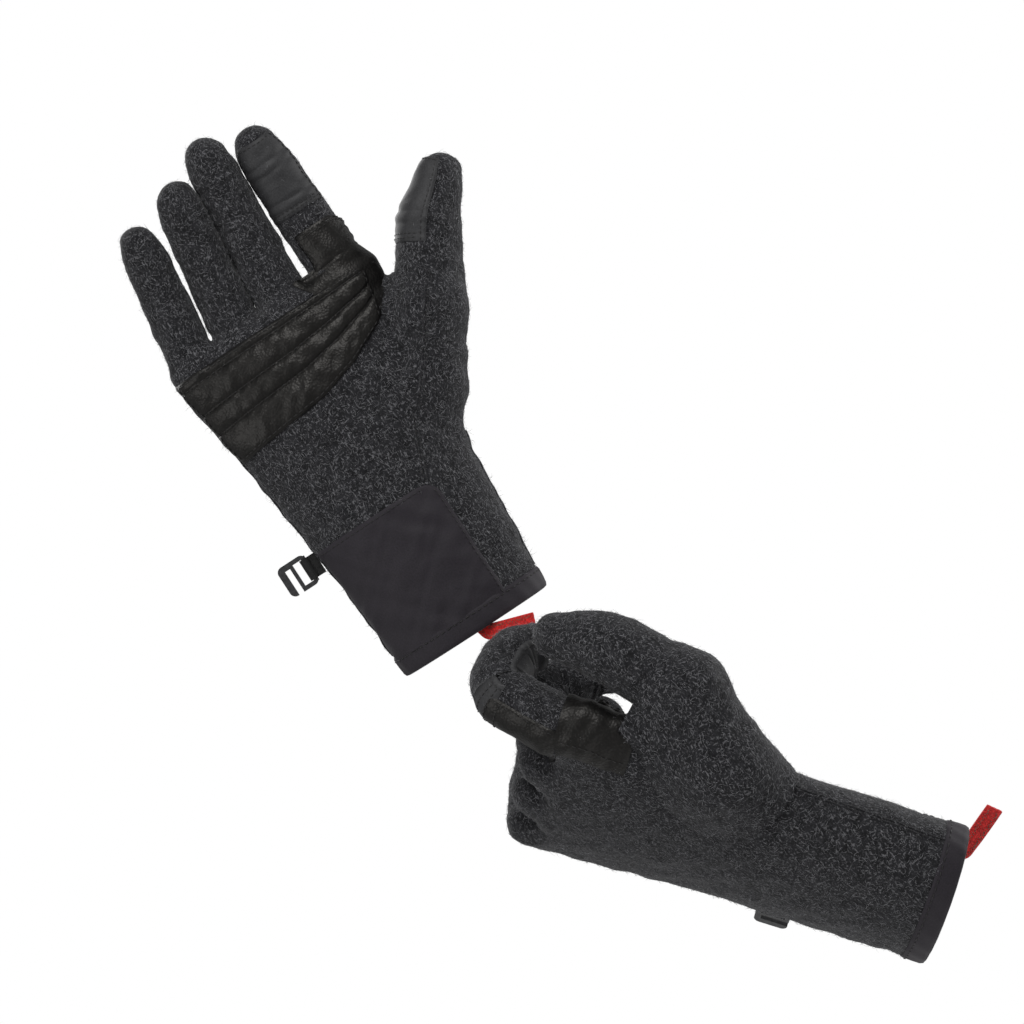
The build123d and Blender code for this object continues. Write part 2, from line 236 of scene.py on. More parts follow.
def net(field, low, high, step):
    """Quads of the zero surface of a field, one vertex per crossed cell."""
    axes = [np.arange(a, b + step, step) for a, b in zip(low, high)]
    shape = tuple(len(a) for a in axes)
    grid = np.stack(np.meshgrid(*axes, indexing="ij"), -1).reshape(-1, 3)
    value = field(grid).reshape(shape)
    cells = tuple(n - 1 for n in shape)
    total = np.zeros(cells + (3,))
    count = np.zeros(cells)
    crossings = []
    for a in range(3):
        b, c = (a + 1) % 3, (a + 2) % 3
        first = np.moveaxis(value, a, 0)[:-1]
        second = np.moveaxis(value, a, 0)[1:]
        cross = np.moveaxis((first < 0) != (second < 0), 0, a)
        idx = np.argwhere(cross)
        nxt = idx.copy()
        nxt[:, a] += 1
        v0, v1 = value[tuple(idx.T)], value[tuple(nxt.T)]
        point = idx.astype(float)
        point[:, a] += v0 / (v0 - v1)
        around = []
        ok = np.ones(len(idx), bool)
        for db, dc in ((0, 0), (1, 0), (1, 1), (0, 1)):
            cell = idx.copy()
            cell[:, b] -= db
            cell[:, c] -= dc
            good = (cell >= 0).all(1) & (cell < np.array(cells)).all(1)
            ok &= good
            np.add.at(total, tuple(cell[good].T), point[good])
            np.add.at(count, tuple(cell[good].T), 1)
            around.append(cell)
        crossings.append((np.stack(around, 1)[ok], (v0 < 0)[ok]))
    used = count > 0
    ids = -np.ones(cells, int)
    ids[used] = np.arange(used.sum())
    verts = np.array(low) + step * (total[used] / count[used][:, None])
    faces = []
    for around, inside_first in crossings:
        quad = ids[around[..., 0], around[..., 1], around[..., 2]]
        faces.append(np.where(inside_first[:, None], quad, quad[:, ::-1]))
    return settle(field, verts), [tuple(f) for f in np.concatenate(faces).tolist()]


def clipped(verts, faces, point, normal, near=None):
    """Cuts a mesh with a plane and drops what lies past it, only among the faces that near() picks."""
    bm = bmesh.new()
    made = [bm.verts.new(v) for v in verts]
    for face in faces:
        bm.faces.new([made[i] for i in face])
    picked = [f for f in bm.faces if near is None or near(f.calc_center_median())]
    geom = list(set(picked) | {e for f in picked for e in f.edges} | {v for f in picked for v in f.verts})
    bmesh.ops.bisect_plane(bm, geom=geom, dist=1e-5, plane_co=point, plane_no=normal, clear_outer=False)
    point, normal = Vector(point), Vector(normal)
    gone = []
    for f in bm.faces:
        centre = f.calc_center_median()
        if (centre - point).dot(normal) > 0 and (near is None or near(centre)):
            gone.append(f)
    bmesh.ops.delete(bm, geom=gone, context="FACES")
    bm.verts.ensure_lookup_table()
    bm.verts.index_update()
    new_verts = np.array([v.co for v in bm.verts])
    new_faces = [tuple(v.index for v in f.verts) for f in bm.faces]
    bm.free()
    return new_verts, new_faces


def sub_mesh(verts, faces, keep):
    faces = [f for f, k in zip(faces, keep) if k]
    used = sorted({i for f in faces for i in f})
    new = {old: i for i, old in enumerate(used)}
    return verts[used], [tuple(new[i] for i in f) for f in faces]


def centres(verts, faces):
    return np.array([verts[list(f)].mean(axis=0) for f in faces])


# ---- mesh building ----
class Mesh:
    """Collects closed parts, each with its own material number, into one object."""

    def __init__(self):
        self.verts, self.faces, self.mats, self.sharp = [], [], [], set()
        self.count = 0

    def add(self, verts, faces, mat=0, sharp=()):
        base = self.count
        self.verts.append(np.asarray(verts, float))
        self.faces += [tuple(i + base for i in f) for f in faces]
        self.mats += [mat] * len(faces)
        self.sharp |= {(min(a, b) + base, max(a, b) + base) for a, b in sharp}
        self.count += len(verts)

    def build(self, name, glove, materials):
        points = glove.row(np.concatenate(self.verts)) / 1000
        faces = self.faces if glove.side > 0 else [f[::-1] for f in self.faces]
        mesh = bpy.data.meshes.new(name)
        mesh.from_pydata(points.tolist(), [], faces)
        for material in materials:
            mesh.materials.append(material)
        mesh.polygons.foreach_set("material_index", np.array(self.mats, np.int32))
        mesh.polygons.foreach_set("use_smooth", np.ones(len(faces), bool))
        if self.sharp:
            flags = [(min(e.vertices), max(e.vertices)) in self.sharp for e in mesh.edges]
            edge_marks = mesh.attributes.get("sharp_edge")
            edge_marks = edge_marks or mesh.attributes.new("sharp_edge", "BOOLEAN", "EDGE")
            edge_marks.data.foreach_set("value", flags)
        mesh.update()
        obj = bpy.data.objects.new(name, mesh)
        bpy.context.scene.collection.objects.link(obj)
        return obj


def border(faces):
    seen = set()
    for f in faces:
        for a, b in zip(f, f[1:] + f[:1]):
            seen.symmetric_difference_update({(a, b) if (b, a) not in seen else (b, a)})
    return seen


def shelled(verts, faces, normals, thick):
    """Gives an open surface an inner wall and a rim, so that it is closed."""
    n = len(verts)
    edges = border(faces)
    inner = verts - normals * thick
    both = np.concatenate([verts, inner])
    walls = [tuple(i + n for i in f[::-1]) for f in faces]
    rim = [(b, a, a + n, b + n) for a, b in edges]
    sharp = list(edges) + [(a + n, b + n) for a, b in edges]
    return both, list(faces) + walls + rim, sharp


def sheet(top, bottom, ring=False):
    """A closed slab between two grids of points; ring closes it in the second direction."""
    rows, cols = top.shape[:2]
    n = rows * cols
    verts = np.concatenate([top.reshape(-1, 3), bottom.reshape(-1, 3)])
    faces, sharp = [], []
    last = cols if ring else cols - 1
    for i in range(rows - 1):
        for j in range(last):
            a, b = i * cols + j, i * cols + (j + 1) % cols
            c, d = b + cols, a + cols
            faces += [(a, b, c, d), (d + n, c + n, b + n, a + n)]
    for j in range(last):
        a, b = j, (j + 1) % cols
        c, d = (rows - 1) * cols + a, (rows - 1) * cols + b
        faces += [(b, a, a + n, b + n), (c, d, d + n, c + n)]
        sharp += [(a, b), (a + n, b + n), (c, d), (c + n, d + n)]
    if not ring:
        for i in range(rows - 1):
            a, b = i * cols, (i + 1) * cols
            c, d = a + cols - 1, b + cols - 1
            faces += [(a, b, b + n, a + n), (d, c, c + n, d + n)]
            sharp += [(a, b), (a + n, b + n), (c, d), (c + n, d + n)]
    return verts, faces, sharp


def unit(v):
    return v / (np.linalg.norm(v, axis=-1, keepdims=True) + 1e-12)


def grid_normals(points):
    return unit(np.cross(np.gradient(points, axis=1), np.gradient(points, axis=0)))


def turned(grid, normals):
    """Whether the quads of a grid face into the cloth."""
    return np.sum(np.cross(grid[0, 1] - grid[0, 0], grid[1, 0] - grid[0, 0]) * normals[0, 0]) < 0


def ways(points):
    """How far along a line each of its points lies."""
    return np.concatenate([[0], np.cumsum(np.linalg.norm(np.diff(points, axis=0), axis=1))])


def at_way(s, along, values):
    """A line's points or normals at other distances along it."""
    return np.stack([np.interp(s, along, values[:, c]) for c in range(3)], -1)


def stitches(mesh, points, normals, mat=1, length=2.6, gap=1.0, radius=0.28, lift=0.12):
    """A row of thread stitches along a line that lies on the cloth."""
    points = np.asarray(points, float)
    along = ways(points)
    starts = np.arange(gap / 2, along[-1] - length, length + gap)
    rings = ((0.0, 0.15, -0.5), (0.12, 0.85, 0.2), (0.5, 1.0, 0.6), (0.88, 0.85, 0.2), (1.0, 0.15, -0.5))
    sides = 6
    for start in starts:
        verts = []
        for part, size, up in rings:
            at = start + length * part
            n = unit(at_way(at, along, normals))
            p = at_way(at, along, points) + n * (lift + radius * up)
            way = unit(at_way(at + 0.4, along, points) - at_way(at - 0.4, along, points))
            across = unit(np.cross(way, n))
            for k in range(sides):
                turn = 2 * math.pi * k / sides
                verts.append(p + radius * size * (across * math.cos(turn) + n * math.sin(turn)))
        faces = []
        for i in range(len(rings) - 1):
            for k in range(sides):
                a, b = i * sides + k, i * sides + (k + 1) % sides
                faces.append((a, b, b + sides, a + sides))
        faces.append(tuple(range(sides))[::-1])
        faces.append(tuple(range((len(rings) - 1) * sides, len(rings) * sides)))
        mesh.add(verts, faces, mat)


def fibres(mesh, verts, faces, density, mat=1):
    """Loose wool fibres: thin closed strands that lie on the cloth and lift at their ends."""
    quads = np.array([f if len(f) == 4 else (f[0], f[1], f[2], f[-1]) for f in faces])
    corner = verts[quads]
    cross = np.cross(corner[:, 2] - corner[:, 0], corner[:, 3] - corner[:, 1])
    area = np.linalg.norm(cross, axis=1) / 2
    count = int(area.sum() * density)
    if count < 3:
        return
    pick = random.choice(len(quads), count, p=area / area.sum())
    u, v = random.random((2, count, 1))
    c = corner[pick]
    root = (1 - u) * (1 - v) * c[:, 0] + u * (1 - v) * c[:, 1] + u * v * c[:, 2] + (1 - u) * v * c[:, 3]
    normal = unit(cross[pick])
    tangent = unit(np.cross(normal, random.normal(size=(count, 3))))
    other = np.cross(normal, tangent)
    length = random.uniform(1.6, 4.2, (count, 1))
    lift = random.uniform(0.02, 0.16, (count, 1)) + 0.35 * (random.random((count, 1)) > 0.8)
    curl = random.uniform(-0.5, 0.5, (count, 1))
    start = root - normal * 0.15
    middle = root + tangent * length * 0.5 + normal * (0.15 + lift * length * 0.4)
    end = root + (tangent + other * curl) * length + normal * (lift * length - 0.05)
    radius = random.uniform(0.045, 0.085, (count, 1))
    points = []
    for centre, scale in ((start, 1.0), (middle, 0.9)):
        for k in range(3):
            turn = 2 * math.pi * k / 3
            points.append(centre + radius * scale * (other * math.cos(turn) + normal * math.sin(turn)))
    points.append(end)
    strands = np.stack(points, 1).reshape(-1, 3)
    pattern = [(2, 1, 0), (0, 1, 4, 3), (1, 2, 5, 4), (2, 0, 3, 5), (3, 4, 6), (4, 5, 6), (5, 3, 6)]
    mesh.add(strands, [tuple(7 * i + k for k in f) for i in range(count) for f in pattern], mat)


# ---- materials ----
def fill(node, values):
    """Sets inputs of a node by name, with _ for a space."""
    for name, value in values.items():
        node.inputs[name.replace("_", " ")].default_value = value


class Look:
    """A material made of nodes over the object's own coordinates; bumps lie on one another."""

    def __init__(self, name, **values):
        self.made = bpy.data.materials.new(name)
        self.made.use_nodes = True
        self.nodes, self.link = self.made.node_tree.nodes, self.made.node_tree.links.new
        self.shader = self.nodes["Principled BSDF"].inputs
        fill(self.nodes["Principled BSDF"], values)
        self.coords = self.nodes.new("ShaderNodeTexCoord").outputs["Object"]
        self.normal = None

    def node(self, kind, vector=None, **values):
        made = self.nodes.new("ShaderNode" + kind)
        fill(made, values)
        if vector is not None:
            self.link(vector, made.inputs["Vector"])
        return made

    def noise(self, scale, detail=3, stretch=None, turn=(0, 0, 0)):
        coords = self.coords
        if stretch:
            coords = self.node("Mapping", coords, Scale=stretch, Rotation=turn).outputs["Vector"]
        return self.node("TexNoise", coords, Scale=scale, Detail=detail).outputs["Fac"]

    def ramp(self, value, stops):
        node = self.node("ValToRGB")
        while len(node.color_ramp.elements) < len(stops):
            node.color_ramp.elements.new(0.5)
        for element, (place, colour) in zip(node.color_ramp.elements, stops):
            element.position = place
            element.color = (*colour, 1) if isinstance(colour, tuple) else (colour, colour, colour, 1)
        self.link(value, node.inputs["Fac"])
        return node.outputs["Color"]

    def wave(self, scale, direction, distortion=0.0):
        node = self.node("TexWave", self.coords, Scale=scale, Distortion=distortion)
        node.bands_direction = direction
        return node.outputs["Fac"]

    def bump(self, height, strength, distance):
        node = self.node("Bump", Strength=strength, Distance=distance)
        self.link(height, node.inputs["Height"])
        if self.normal is not None:
            self.link(self.normal, node.inputs["Normal"])
        self.normal = node.outputs["Normal"]
        self.link(self.normal, self.shader["Normal"])

    def tint(self, colour):
        self.link(colour, self.shader["Base Color"])

    def grain(self, colour, scale, spread=0.35):
        """Tints the material with a fine noise round one colour."""
        fine = self.noise(scale)
        low = tuple(c * (1 - spread) for c in colour)
        high = tuple(min(1, c * (1 + spread)) for c in colour)
        self.tint(self.ramp(fine, [(0.35, low), (0.65, high)]))
        return fine


def wool_material():
    look = Look("boiled_wool", Roughness=0.95, Specular_IOR_Level=0.15,
                Sheen_Weight=0.12, Sheen_Roughness=0.55)
    clumps = look.noise(260, 4)
    colour = look.ramp(clumps, [(0.3, (0.006, 0.006, 0.007)), (0.7, (0.024, 0.024, 0.027))])
    streaks = (((420, 2600, 900), (0.3, 0.5, 0.2), 0.12), ((2400, 500, 1100), (0.9, 0.1, 0.8), 0.09),
               ((1300, 2300, 420), (0.2, 0.8, 0.4), 0.15))
    for stretch, turn, tone in streaks:
        mask = look.ramp(look.noise(1, 2, stretch, turn), [(0.60, 0.0), (0.70, 1.0)])
        mixed = look.nodes.new("ShaderNodeMixRGB")
        look.link(mask, mixed.inputs[0])
        look.link(colour, mixed.inputs[1])
        mixed.inputs[2].default_value = (tone, tone, tone * 1.06, 1)
        colour = mixed.outputs[0]
    look.tint(colour)
    look.bump(look.noise(900, 5), 0.9, 0.0006)
    look.bump(clumps, 0.6, 0.0009)
    return look.made


def leather_material():
    look = Look("pebbled_leather", Specular_IOR_Level=0.38, Specular_Tint=(1.0, 0.97, 0.93, 1))
    warp = look.nodes.new("ShaderNodeVectorMath")
    warp.operation = "MULTIPLY_ADD"
    look.link(look.noise(300, 2), warp.inputs[0])
    warp.inputs[1].default_value = (0.0012, 0.0012, 0.0012)
    look.link(look.coords, warp.inputs[2])
    cells = look.node("TexVoronoi", warp.outputs[0], Scale=780).outputs["Distance"]
    look.tint(look.ramp(cells, [(0.0, (0.0072, 0.0067, 0.0064)), (0.7, (0.0028, 0.0027, 0.0027))]))
    wrinkles = look.noise(1, 4, (110, 130, 260), (0.1, 0.2, 0.15))
    look.link(look.ramp(wrinkles, [(0.3, 0.41), (0.7, 0.47)]), look.shader["Roughness"])
    look.bump(look.ramp(cells, [(0.0, 1.0), (0.75, 0.0)]), 0.5, 0.0003)
    look.bump(wrinkles, 0.18, 0.0006)
    return look.made


def knit_material():
    look = Look("stretch_softshell", Roughness=0.72, Sheen_Weight=0.05)
    fine = look.noise(1500, 2)
    look.tint(look.ramp(fine, [(0.3, (0.0065, 0.0042, 0.008)), (0.7, (0.015, 0.0105, 0.0175))]))
    look.bump(look.wave(420, "DIAGONAL", 0.6), 0.06, 0.0001)
    look.bump(fine, 0.3, 0.0002)
    return look.made


def plain(name, colour, roughness, scale=900, strength=0.3, distance=0.0003, spread=0.35):
    look = Look(name, Roughness=roughness)
    look.bump(look.grain(colour, scale, spread), strength, distance)
    return look.made


def ribbed(name, colour, scale):
    look = Look(name, Roughness=0.75)
    look.grain(colour, 900)
    look.bump(look.wave(scale, "Z"), 0.7, 0.0005)
    return look.made


WOOL = wool_material()
FIBRE = plain("wool_fibre", (0.27, 0.27, 0.285), 0.8)
LEATHER = leather_material()
THREAD = plain("black_thread", (0.016, 0.015, 0.015), 0.5, 2500)
SOFTSHELL = knit_material()
PAD = plain("touch_pad", (0.024, 0.024, 0.026), 0.62, 1400, 0.25, 0.0002)
PLASTIC = plain("hook_plastic", (0.03, 0.03, 0.032), 0.42, 600, 0.08, 0.0001)
WEBBING = ribbed("webbing", (0.012, 0.012, 0.012), 560)
LINING = plain("brushed_lining", (0.03, 0.03, 0.034), 0.95, 700, 0.8, 0.0006)
ELASTIC = ribbed("elastic", (0.04, 0.04, 0.04), 500)
RED = ribbed("red_ribbon", (0.78, 0.022, 0.02), 700)
TAB_THREAD = plain("tab_thread", (0.13, 0.16, 0.12), 0.7)


# ---- tubes of the fingers ----
DOME = 1.15  # length of a stall's rounded tip, in tip radii


class Tube:
    """A stall swept along its joints. s is the way from the start, angle 0 is the palm side."""

    def __init__(self, points, radii, marks, pad, rounding, seams, start_cap=None):
        path = [points[0]]
        for before, here, after, (back_off, on) in zip(points, points[1:], points[2:], rounding):
            a = here + unit(before - here) * back_off
            b = here + unit(after - here) * on
            t = np.linspace(0, 1, 24)[:, None]
            path += list((1 - t) ** 2 * a + 2 * t * (1 - t) * here + t * t * b)
        path.append(points[-1])
        path = np.array(path)
        keep = np.concatenate([[True], np.linalg.norm(np.diff(path, axis=0), axis=1) > 1e-6])
        path = path[keep]
        lengths = ways(path)
        self.length = lengths[-1]
        self.path, self.lengths, self.pad = path, lengths, pad
        self.at = [lengths[np.argmin(np.linalg.norm(path - p, axis=1))] for p in marks]
        self.radii = radii
        self.seams = seams
        self.start_cap = start_cap
        self.folded = start_cap is not None

    def centre(self, s):
        return at_way(s, self.lengths, self.path)

    def axes(self, s):
        along = unit(self.centre(s + 0.8) - self.centre(s - 0.8))
        palm = unit(self.pad - along * (along @ self.pad)[..., None])
        return along, palm, np.cross(along, palm)

    def radius(self, s):
        stations = [self.at[0], self.at[1], self.at[2], self.length - self.radii[3]]
        r = np.interp(s, stations, self.radii)
        tip = DOME * self.radii[3]
        part = np.clip((s - (self.length - tip)) / tip, 0, 1)
        r = r * np.sqrt(np.maximum(1 - part**2.3, 1e-4))
        if self.start_cap:
            part = np.clip((self.start_cap - s) / self.start_cap, 0, 1)
            r = r * np.sqrt(np.maximum(1 - part**2, 1e-4))
        return r

    def creases(self, s, angle):
        """Soft folds across the palm side at each joint."""
        total = np.zeros_like(s)
        palm = np.clip(np.cos(angle), 0, 1) ** 0.7
        for joint in self.at[1:3]:
            near = np.exp(-(((s - joint) / 5.5) ** 2))
            total += near * palm * 0.4 * np.cos((s - joint) * 1.15 + 0.6 * np.sin(angle * 2 + joint))
        for seam in self.seams:
            off = np.abs((angle - seam + math.pi) % (2 * math.pi) - math.pi)
            ridge = 0.28 * np.exp(-(((off - 0.16) / 0.09) ** 2)) - 0.42 * np.exp(-((off / 0.05) ** 2))
            total += ridge * np.clip((self.length - 4 - s) / 6, 0, 1) * np.clip((s - 14) / 8, 0, 1)
        return total

    def surface(self, s, angle, field=None, blend_to=0.0):
        s, angle = np.broadcast_arrays(np.asarray(s, float), np.asarray(angle, float))
        shape = s.shape
        s, angle = s.ravel(), angle.ravel()
        centre = self.centre(s)
        _, palm, across = self.axes(s)
        ray = palm * np.cos(angle)[:, None] + across * np.sin(angle)[:, None]
        r = self.radius(s)
        if field is not None:
            near = s < blend_to
            if near.any():
                low, high = leaving(field, centre[near], ray[near], r[near] * 0.5, r[near] + 9, 22)
                ease = np.clip((s[near] - (blend_to - 5)) / 5, 0, 1)
                r[near] = (low + high) / 2 * (1 - ease) + r[near] * ease
        base = centre + ray * r[:, None]
        shown = base + ray * (folds(base) + self.creases(s, angle))[:, None]
        return shown.reshape(*shape, 3)


def tube_piece(mesh, tube, s0, s1, field=None, blend_to=0.0, closed_end=False, closed_start=False):
    """A closed wall of a stall between two stations; returns its outer points and quads for the fibres."""
    steps = max(int((s1 - s0) / 0.9), 6)
    s = np.linspace(s0, s1, steps)
    if closed_end:
        tip = DOME * tube.radii[3]
        dome = tube.length - tip + tip * np.sin(np.linspace(0, math.pi / 2, 12))
        s = np.concatenate([np.linspace(s0, tube.length - tip, steps)[:-1], dome[:-1], [s1 - 0.02]])
    if closed_start:
        cap = tube.start_cap
        dome = cap - cap * np.sin(np.linspace(math.pi / 2, 0, 12))
        s = np.concatenate([[0.02], dome[1:], s[s > cap]])
    angle = np.linspace(0, 2 * math.pi, SIDES, endpoint=False)
    top = tube.surface(s[:, None], angle[None, :], field, blend_to)
    centre = tube.centre(s)[:, None, :]
    reach = np.linalg.norm(top - centre, axis=2, keepdims=True)
    bottom = top + (centre - top) * np.minimum(SKIN / np.maximum(reach, 0.1), 0.5)
    verts, faces, sharp = sheet(top, bottom, ring=True)
    mesh.add(verts, faces, 0, sharp)
    ring = [(j, (j + 1) % SIDES) for j in range(SIDES)]
    starts = range(0, (len(s) - 1) * SIDES, SIDES)
    outer = [(i + a, i + b, i + SIDES + b, i + SIDES + a) for i in starts for a, b in ring]
    return top.reshape(-1, 3), outer


def patch(mesh, points, normals, height, sink=0.6):
    """A closed cloth patch: a grid on the skin raised by height, with its underside sunk in the skin."""
    top = points + normals * np.asarray(height)[..., None]
    verts, faces, sharp = sheet(top, points - normals * sink)
    if turned(top, normals):
        faces = [f[::-1] for f in faces]
    mesh.add(verts, faces, 0, sharp)
    return top


def edge_fall(u, width):
    """0 at the edges of the 0..1 range and 1 inside, rounded over a width."""
    d = np.clip(np.minimum(u, 1 - u) / width, 0, 1)
    return np.sqrt(1 - (1 - d) ** 2)


def finger_tube(glove, name):
    """The line of a stall: it starts inside the hand when straight, in the root's ball when folded."""
    root, knuckle, end, tip = glove.joints(name)
    pad = glove.fingers[name]["pad"]
    marks = (root, knuckle, end)
    if name == "thumb":
        return Tube([root, knuckle, end, tip], RADII[name], marks, pad, ((12, 12), (9, 9)), THUMB_SEAMS)
    if unit(knuckle - root)[2] < 0.8:
        start = root - unit(knuckle - root) * 4
        rounding = ((9.5, 9.5), (8, 8))
        points = [start, knuckle, end, tip]
        return Tube(points, RADII[name], marks, pad, rounding, FINGER_SEAMS, RADII[name][0])
    start = root - np.array([0, 0, ROOT_BELOW])
    rounding = ((3, 12), (9, 9), (7, 7))
    return Tube([start, root, knuckle, end, tip], RADII[name], marks, pad, rounding, FINGER_SEAMS)


# ---- one glove ----
FIBRES = 0.2  # strands on each square millimetre
SKIN_START = 7.5  # the hem hides the skin's lower edge
FAR = 80  # outside every skin
NET_STEP = {"hand": 1.7, "thumb": 1.5}
CUT_FROM = {"right": -100, "left": 23.6}  # the skin is cut open for straight stalls from this width on
ROOT_BELOW = 12.0  # a straight stall's line starts this far under its root joint
ROOT_START = ROOT_BELOW - (ROOT_HEIGHT - ROOT_CUT)
ROOT_EASE = 24  # up to here a stall follows the soft joint with the hand
ROOT_ZONE = np.array([0, 0, 17.0])
KNUCKLE_ZONE = 8
END_ZONE = 6.5
THUMB_CUT = 17  # past the thumb's knuckle joint
THUMB_ZONE = 13
END_CUT = 11  # before the thumb's end joint
PADS = {"index": (6, 6, (-1.3, 1.3)), "thumb": (END_CUT, 4, (-1.2, 0.72))}
LEATHER_BOTTOM = ((-58, -50, 0, 20, 40, 52, 60), (127, 128, 133, 139, 149, 157, 162))
LEATHER_TOP = 176.5
LEATHER_SIDE = ((140, 157, 176), (36, 44, 49.5))
QUILT = (0.37, 0.61)
PATCH_LENGTH = {"right": 17, "left": 27}
PATCH_SLOPE = {"right": 0.35, "left": 0.1}
PANEL = {"bottom": 9, "top": 73, "side": 22, "corner": 8.5}
FORK = np.array([34, -30, 103.0])  # where the thumb's seam leaves the palm seam
HEM = [(-3.0, 10.5), (-3.2, 6.0), (-3.1, 1.6), (-2.2, 0.25), (-0.9, 0.0), (0.4, 0.35), (1.0, 1.8), (1.1, 5.0),
       (1.05, 8.2), (0.9, 9.8), (0.35, 10.8)]
LOOP = np.array([(3, -20.5, 5), (5, -21.6, -3), (13, -27, -5.5), (26, -35, -9.5)], float)
LOOP_ACROSS = np.array([(1, 0, 0), (0.9, -0.2, 0.35), (-0.1, 0.3, 0.95), (-0.1, 0.35, 0.93)], float)
LOOP_HALF = 3.9
CARRIED = {"lining": LINING, "wrist_elastic": ELASTIC, "clip_webbing": WEBBING, "clip_hook": PLASTIC}


def finish_piece(mesh, glove, name, materials, bodies=("hand",), zone=None, stands_for=()):
    """Builds a piece, which rides on one body; with a zone it rides on none and only has its placement baked in.
    """
    part = mesh.build(glove.name(name), glove, materials)
    if zone is None:
        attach(part, glove.name(bodies[0]))
    else:
        glove.name(bodies[0])
        glove.name(bodies[1])
        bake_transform(part)
    if stands_for:
        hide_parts(*(glove.name(node) for node in stands_for))


def draped(field, origin, ray, low, shape):
    """The cloth's points and normals where rays leave a field."""
    ends = (np.full(len(origin), float(depth)) for depth in (low, FAR))
    hit = origin + ray * leaving(field, origin, ray, *ends, 24)[0][:, None]
    normal = gradient(field, hit)
    hit = hit + normal * folds(hit)[:, None]
    return hit.reshape(*shape, 3), normal.reshape(*shape, 3)


def on_palm(field, x, z):
    """Palm points over a grid of widths and heights; the rays straighten towards the thumb."""
    cx, a, b = hand_shape(z.ravel())
    turn = np.arcsin(np.clip((x.ravel() - cx) / a, -0.999, 0.999))
    ray = unit(np.stack([a * np.sin(turn), -b * np.cos(turn), np.zeros(len(a))], 1))
    straight = np.clip((x.ravel() + 8) / 30, 0, 1)[:, None]
    straight = straight * straight * (3 - 2 * straight)
    ray = unit(ray * (1 - straight) + np.array([0, -1.0, 0]) * straight)
    origin = np.stack([cx + (x.ravel() - cx) * straight[:, 0], np.zeros(len(a)), z.ravel()], 1)
    return draped(field, origin, ray, 2, x.shape)


def outward(tube, points, s):
    """Normals of a grid on a stall, turned away from its centre line."""
    centre = tube.centre(s.ravel()).reshape(*s.shape, 3)
    normals = grid_normals(points)
    return normals * np.sign(np.sum(normals * (points - centre), axis=2, keepdims=True))


def steps_between(rows, cols):
    return np.linspace(0, 1, rows)[:, None], np.linspace(0, 1, cols)[None, :]


def line_on(points, normals, u=None, v=None, count=80):
    """A line across a patch grid at one row or column position between 0 and 1."""
    rows, cols = points.shape[:2]
    t = np.linspace(0, 1, count)
    i = (t if u is not None else np.full(count, v)) * (rows - 1)
    j = (t if v is not None else np.full(count, u)) * (cols - 1)
    i0, j0 = np.minimum(i.astype(int), rows - 2), np.minimum(j.astype(int), cols - 2)
    fi, fj = (i - i0)[:, None], (j - j0)[:, None]

    def sample(g):
        low = g[i0, j0] * (1 - fj) + g[i0, j0 + 1] * fj
        high = g[i0 + 1, j0] * (1 - fj) + g[i0 + 1, j0 + 1] * fj
        return low * (1 - fi) + high * fi
    return sample(points), unit(sample(normals))


def sew(mesh, top, normals, trim=0, last=None, u=None, v=None, count=80, **thread):
    """Stitches along a line of a patch, trimmed at its ends."""
    p, n = line_on(top, normals, u, v, count)
    part = slice(trim, -(trim if last is None else last) or None)
    stitches(mesh, p[part], n[part], **thread)


def shell_mesh(verts, faces, normals):
    mesh = Mesh()
    both, closed, sharp = shelled(verts, faces, normals, SKIN)
    mesh.add(both, closed, 0, sharp)
    return mesh


def hand_skin_piece(glove):
    verts, faces = net(glove.hand_skin, (-68, -40, 3), (64, 40, 208), NET_STEP["hand"])
    verts, faces = clipped(verts, faces, (0, 0, SKIN_START), (0, 0, -1))
    start = CUT_FROM[glove.hand]
    verts, faces = clipped(verts, faces, (0, 0, ROOT_CUT), (0, 0, 1), lambda c: c[0] > start)
    normals = gradient(glove.hand_skin, verts)
    shown = verts + normals * folds(verts)[:, None]
    mesh = shell_mesh(shown, faces, normals)
    x, y, z = centres(shown, faces).T
    lowest = np.interp(x, *LEATHER_BOTTOM)
    under_leather = (y < -3) & (z > lowest) & (z < 176) & (x < 44)
    under_panel = (y < -2) & (z < 72) & (x < 21)
    bare = ~(under_leather | under_panel | (z < 11))
    fibres(mesh, shown, [f for f, k in zip(faces, bare) if k], FIBRES)
    finish_piece(mesh, glove, "hand_skin", [WOOL, FIBRE], stands_for=("back_shell", "palm_shell"))


def thumb_zone(glove):
    """Two points that mark the span of the thumb's root, in metres."""
    root, knuckle = glove.joints("thumb")[:2]
    if glove.hand == "right":
        out = np.array([0.94, 0, 0.34])
        crotch = np.array([52, 0, 151.0])
        return glove.metres(crotch - out * 2), glove.metres(crotch + out * 15)
    out = unit(knuckle - root)
    return glove.metres(root + out * 16), glove.metres(root + out * 40)


def thumb_root_piece(glove):
    root, _, end, _ = glove.joints("thumb")
    tube = glove.tubes["thumb"]
    cut = tube.at[1] + THUMB_CUT
    centre = tube.centre(np.array([cut]))[0]
    along = tube.axes(np.array([cut]))[0][0]
    low = np.minimum(root, end) - 34
    high = np.maximum(root, end) + 30
    verts, faces = net(glove.thumb_skin, low, high, NET_STEP["thumb"])
    verts, faces = clipped(verts, faces, centre, along)
    middle = centres(verts, faces)
    keep = (hand_field(middle) > 0.12) & (glove.thumb_chain(middle) < 14)
    verts, faces = sub_mesh(verts, faces, keep)
    normals = gradient(glove.thumb_skin, verts)
    shown = verts + normals * (folds(verts) + 0.05)[:, None]
    mesh = shell_mesh(shown, faces, normals)
    fibres(mesh, shown, faces, FIBRES)
    bodies = ("hand", "thumb_base")
    finish_piece(mesh, glove, "thumb_root_skin", [WOOL, FIBRE], bodies, thumb_zone(glove), bodies[1:])


